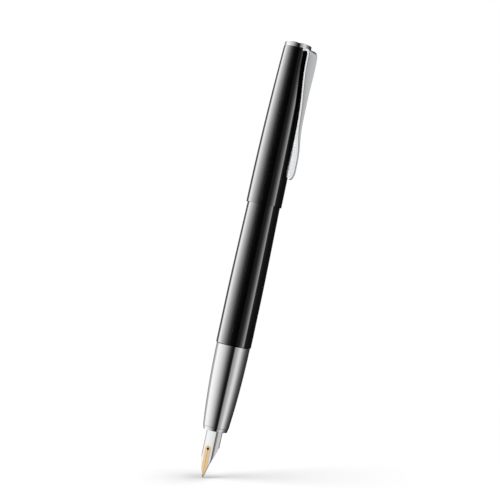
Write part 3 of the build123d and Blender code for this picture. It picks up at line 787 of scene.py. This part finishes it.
# ---------------------------------------------------------------- barrel
class PEN_OT_barrel(Operator):
    """Lacquered barrel tube, which is the curve of barrel_radius turned about the axis, and its domed end
    plug. Also the finish of the brass thread insert"""

    bl_idname = "pen.barrel"
    bl_label = "Barrel"

    def execute(self, context):
        sizes, finishes = context.scene.pen_sizes, context.scene.pen_finishes
        lacquer = bpy.data.materials["lacquer"]
        edge = sizes.edge
        outer = np.vstack([flank(barrel_radius, BARREL_FRONT + edge, BARREL_STRAIGHT, 20),
                           flank(barrel_radius, BARREL_STRAIGHT, BARREL_REAR, 70)[1:]])
        inner = flank(barrel_radius, BARREL_REAR, BARREL_FRONT, 40) - np.array([BARREL_WALL, 0])
        t = np.linspace(0, math.pi / 2, 6)[:-1]
        lip = np.stack([BARREL_R - edge + edge * np.sin(t), BARREL_FRONT + edge - edge * np.cos(t)], -1)
        tube = turned("barrel_shell", np.vstack([outer, inner, lip]), lacquer, sizes.turns)
        place(tube, "barrel", "black_lacquer", "barrel_tube")
        lit_alone("lacquered_pieces").objects.link(tube)
        r, base = BARREL_TAIL_R, BARREL_REAR
        s = np.linspace(0, 1, 20)
        dome = np.stack([(r - 0.15 * MM) * (1 - s), base + PLUG_DOME * (1 - (1 - s) ** 2)], -1)
        bore, skirt_r = r - PLUG_WALL, r - BARREL_WALL
        ceiling, foot = base - PLUG_ROOF, base - PLUG_DEPTH
        under = np.array([(0, ceiling), (bore, ceiling), (bore, foot), (skirt_r, foot), (skirt_r, base)])
        plug = turned("end_plug", np.vstack([dome, under]), lacquer, sizes.turns)
        place(plug, "barrel", "black_lacquer", "barrel_end_plug")
        lit_alone("lacquered_pieces").objects.link(plug)
        brass = turned_metal_finish("turned_brass", tuple(finishes.brass), 0.2, 0.34)
        refinish("barrel_thread_insert", brass)
        return {"FINISHED"}


# ---------------------------------------------------------------- grip
class PEN_OT_grip(Operator):
    """Plated grip sleeve, which is the curve of grip_radius turned about the axis, and the narrow ring at its
    front, with the fine groove between them"""

    bl_idname = "pen.grip"
    bl_label = "Grip"

    def execute(self, context):
        sizes, finishes = context.scene.pen_sizes, context.scene.pen_finishes
        plate = turned_metal_finish("grip_plate", tuple(finishes.plate), 0.05, 0.11, 0.1)
        edge = sizes.edge
        core_r = np.array([3.8 * MM, 5.1 * MM])
        outer = flank(grip_radius, RING_TOP + GRIP_GROOVE, GRIP_REAR - edge, 80)
        ends = np.array([(GRIP_R - edge, GRIP_REAR), (core_r[1], GRIP_REAR), (core_r[0], RING_TOP),
                         (GRIP_NECK_R - 0.2 * MM, RING_TOP)])
        sleeve = turned("grip_shell", np.vstack([outer, ends]), plate, sizes.turns)
        place(sleeve, "grip", "palladium_plate", "grip_sleeve")
        ring = self.front_ring(edge, plate, sizes.turns)
        place(ring, "grip", "palladium_plate", "grip_front_ring")
        return {"FINISHED"}

    def front_ring(self, edge, plate, turns):
        """Ring whose outside is a short cone, and whose front opening follows the nib's outline: at each
        angle its radius is the nearer of the distances to the opening's side and to its face or back."""
        a = around(turns)
        level = np.where(np.sin(a) < 0, -UNIT_FACE_Y, UNIT_BACK_Y) + 0.02 * MM
        opening = np.minimum((UNIT_HALF + 0.02 * MM) / np.maximum(np.abs(np.cos(a)), 1e-9),
                             level / np.maximum(np.abs(np.sin(a)), 1e-9))
        opening = np.minimum(opening, math.hypot(UNIT_HALF, 0.002) - 0.25 * MM)
        lip = GRIP_FRONT + 0.3 * MM
        front_r, rear_r = GRIP_NECK_R - 0.30 * MM, GRIP_NECK_R - 0.07 * MM
        flank_rows = round_corners([(3.75 * MM, GRIP_FRONT), (front_r, GRIP_FRONT), (rear_r, RING_TOP),
                                    (3.81 * MM, RING_TOP)], 0.5 * edge)
        rows = np.vstack([flank_rows, [(3.75 * MM, lip)]])
        body = lathe(rows, a)
        rim = np.stack([opening * np.cos(a), opening * np.sin(a), 0 * a], -1)
        points = np.concatenate([body, [rim + (0, 0, lip), rim + (0, 0, GRIP_FRONT)]])
        return mesh_object("front_ring", points, grid_quads(len(points), turns, wrap_rows=True), plate)


# ---------------------------------------------------------------- nib
def nib_half_width(z):
    """Half the nib's width seen from its face: a straight taper from the tip that rounds into the full width,
    as the full width less a softened shortfall of the taper."""
    taper = 0.36 * MM + (z - NIB_TIP_Z) * NIB_TAPER
    softness = 0.25 * MM
    return UNIT_HALF - np.log1p(np.exp((UNIT_HALF - taper) / softness)) * softness


def face_y(z):
    """Y of the nib's face: level at the rear, and sloping back below the bend."""
    return UNIT_FACE_Y + NIB_DROOP * np.clip(1 - z / NIB_BEND_Z, 0, 1)


class PEN_OT_nib(Operator):
    """Folded two-tone nib with its slit and breather hole: two mirrored halves, each a strip that runs across
    the face, round a quarter-turn fold and down the side. Also the finish of its hard tip"""

    bl_idname = "pen.nib"
    bl_label = "Nib"

    def execute(self, context):
        sizes, finishes = context.scene.pen_sizes, context.scene.pen_finishes
        metal = nib_finish("nib_plate", tuple(finishes.nib_white), tuple(finishes.nib_gold))
        z = np.concatenate([np.linspace(0.5, 9.66, 90), 10.2 - 0.5 * np.cos(np.linspace(0.25, math.pi, 20)),
                            np.linspace(10.8, 26.0, 50)]) * MM
        hole = np.clip(0.25 - (z / MM - 10.2) ** 2, 0, None) ** 0.5 * MM
        slit = np.where(z < NIB_BEND_Z - HOLE_R, SLIT_HALF, hole)
        outline = nib_half_width(z)
        skirt = np.clip((z / MM - SKIRT_START) / SKIRT_LONG, 0, 1) * SKIRT_DEEP
        s = np.linspace(0, 1, 24)
        # outer run: across the face, round the fold, down the skirt
        flat = np.minimum(outline, UNIT_HALF - NIB_CORNER)[:, None]
        face_x = slit[:, None] + (flat - slit[:, None]) * s
        crown = NIB_CROWN * (face_x / UNIT_HALF) ** 2
        face_p = np.stack([face_x, face_y(z)[:, None] + crown], -1)
        bend = np.clip((outline[:, None] - flat) / NIB_CORNER, 0, 1)
        angle = np.linspace(0, 1, 10)[1:] * (bend * math.pi / 2)
        fold_y0 = face_p[:, -1:, 1]
        fold_p = np.stack([flat + NIB_CORNER * np.sin(angle), fold_y0 + NIB_CORNER * (1 - np.cos(angle))], -1)
        down = np.linspace(0, 1, 12)[1:] * skirt[:, None]
        side_p = np.stack([fold_p[:, -1:, 0] + 0 * down, fold_p[:, -1:, 1] + down], -1)
        run = np.concatenate([face_p, fold_p, side_p], 1)
        step = np.gradient(run, axis=1)
        length = np.linalg.norm(step, axis=2, keepdims=True)
        step = np.where(length > 1e-9, step / np.maximum(length, 1e-9), np.array([1.0, 0.0]))
        inward = np.stack([-step[..., 1], step[..., 0]], -1)
        inside = run + inward * NIB_WALL
        inside[:, 0, 0] = run[:, 0, 0]
        loop = np.concatenate([run, inside[:, ::-1]], 1)
        heights = np.broadcast_to(z[:, None], loop.shape[:2])
        half = np.stack([loop[..., 0], loop[..., 1], heights], -1)
        mirrored = half * np.array([-1.0, 1.0, 1.0])
        pieces, faces, count = [], [], 0
        for part in (half, mirrored):
            rows, columns = part.shape[:2]
            capped = np.concatenate([np.broadcast_to(part[0].mean(0), (1, columns, 3)), part,
                                     np.broadcast_to(part[-1].mean(0), (1, columns, 3))])
            pieces.append(capped.reshape(-1, 3))
            faces.append(grid_quads(rows + 2, columns) + count)
            count += capped.shape[0] * columns
        points, quads = np.concatenate(pieces), np.concatenate(faces)
        hidden = (np.abs(points[quads][..., 0]) < 1e-9).all(1)
        nib = mesh_object("nib_sheet", points, quads, metal, ~hidden)
        self.paint_gold(nib, sizes.gold_half)
        place(nib, "grip", "nib_metal", "nib")
        lit_alone("steel_pieces").objects.link(nib)
        tipping = turned_metal_finish("tipping", (0.7, 0.66, 0.6), 0.12, 0.2, 0.05)
        refinish("nib_tip", tipping)
        return {"FINISHED"}

    def paint_gold(self, nib, half):
        """Attribute gold_field: distance inside a strip with a round top just behind the breather hole.
        Attribute painted_line_shade: painted shade that falls from the slit to nothing a tenth of a
        millimetre away, and a painted dark reflection that falls from the folded edges inwards, where it also
        fades towards the tip on the left."""
        mesh = nib.data
        co = np.zeros(len(mesh.vertices) * 3)
        mesh.vertices.foreach_get("co", co)
        x, y, z = co.reshape(-1, 3).T
        beyond = np.clip(z - NIB_BEND_Z, 0, None)
        field = half - np.hypot(x, beyond)
        # painted shade along the slit's edges
        slit = 0.8 * np.clip(1 - np.abs(x) / (0.12 * MM), 0, 1) * (z < NIB_BEND_Z)
        reach = np.where(x > 0, 0.35, 0.85) * MM
        # painted dark reflection along the folded edges
        fold = np.clip(2 * (1 - (nib_half_width(z) - np.abs(x)) / reach), 0, 1) * (y < face_y(z) + 0.75 * MM)
        fold *= np.where(x > 0, 1.0, np.clip((z - 6.5 * MM) / (2 * MM), 0, 1))
        for name, values in (("gold_field", field), ("painted_line_shade", np.maximum(slit, 0.6 * fold))):
            attribute = mesh.attributes.new(name, "FLOAT", "POINT")
            attribute.data.foreach_set("value", values.astype(np.float32))


# ---------------------------------------------------------------- carried-over pieces
class PEN_OT_inner_pieces(Operator):
    """Finishes of the pieces that are kept as they stand: feed, core, liner, screw and converter"""

    bl_idname = "pen.inner_pieces"
    bl_label = "Inner pieces"

    def execute(self, context):
        finishes = context.scene.pen_finishes
        rubber = plastic_finish("hard_rubber", tuple(finishes.rubber), 0.25, 0.42)
        moulded = plastic_finish("moulded_black", (0.018, 0.018, 0.02), 0.3, 0.5)
        pale = plastic_finish("pale_plastic", (0.62, 0.64, 0.67), 0.35, 0.5)
        seal = plastic_finish("seal_rubber", (0.012, 0.012, 0.012), 0.6, 0.8, 0.2)
        knob = plastic_finish("knob_plastic", (0.012, 0.012, 0.014), 0.12, 0.25, 0.05)
        clear = clear_finish("clear_tube", (0.92, 0.95, 0.97))
        steel = turned_metal_finish("turned_steel", (0.5, 0.5, 0.51), 0.2, 0.35)
        chrome = bpy.data.materials["crown_chrome"]
        kept = {"feed": rubber, "grip_core": moulded, "cap_liner": moulded, "crown_screw": steel,
                "ink_pipe": moulded, "converter_mouth": moulded, "converter_tube": clear,
                "converter_guide": moulded, "converter_band": chrome, "converter_knob": knob,
                "converter_spindle": pale, "converter_piston": pale, "piston_seals": seal}
        for node, material in kept.items():
            refinish(node, material)
        return {"FINISHED"}


class PEN_PT_panel(Panel):
    """Sidebar panel that lists the pen's settings and steps"""

    bl_idname = "PEN_PT_panel"
    bl_label = "Fountain Pen"
    bl_space_type = "VIEW_3D"
    bl_region_type = "UI"
    bl_category = "Pen"

    def draw(self, context):
        scene = context.scene
        for group in (scene.pen_finishes, scene.pen_sizes, scene.pen_studio):
            box = self.layout.box()
            for key in group.__annotations__:
                box.prop(group, key)
        for step in STEPS:
            self.layout.operator(step.bl_idname)


GROUPS = {"pen_finishes": PenFinishes, "pen_sizes": PenSizes, "pen_studio": PenStudio}
STEPS = (PEN_OT_stage, PEN_OT_cap, PEN_OT_crown, PEN_OT_clip, PEN_OT_barrel, PEN_OT_grip, PEN_OT_nib,
         PEN_OT_inner_pieces)


def register():
    for group in (*GROUPS.values(), *STEPS, PEN_PT_panel):
        bpy.utils.register_class(group)
    for key, group in GROUPS.items():
        setattr(bpy.types.Scene, key, PointerProperty(type=group))


def unregister():
    for key in GROUPS:
        delattr(bpy.types.Scene, key)
    for group in reversed((*GROUPS.values(), *STEPS, PEN_PT_panel)):
        bpy.utils.unregister_class(group)


def main():
    register()
    bpy.ops.pen.stage()
    bpy.ops.pen.cap()
    bpy.ops.pen.crown()
    bpy.ops.pen.clip()
    bpy.ops.pen.barrel()
    bpy.ops.pen.grip()
    bpy.ops.pen.nib()
    bpy.ops.pen.inner_pieces()


if __name__ == "__main__":
    main()
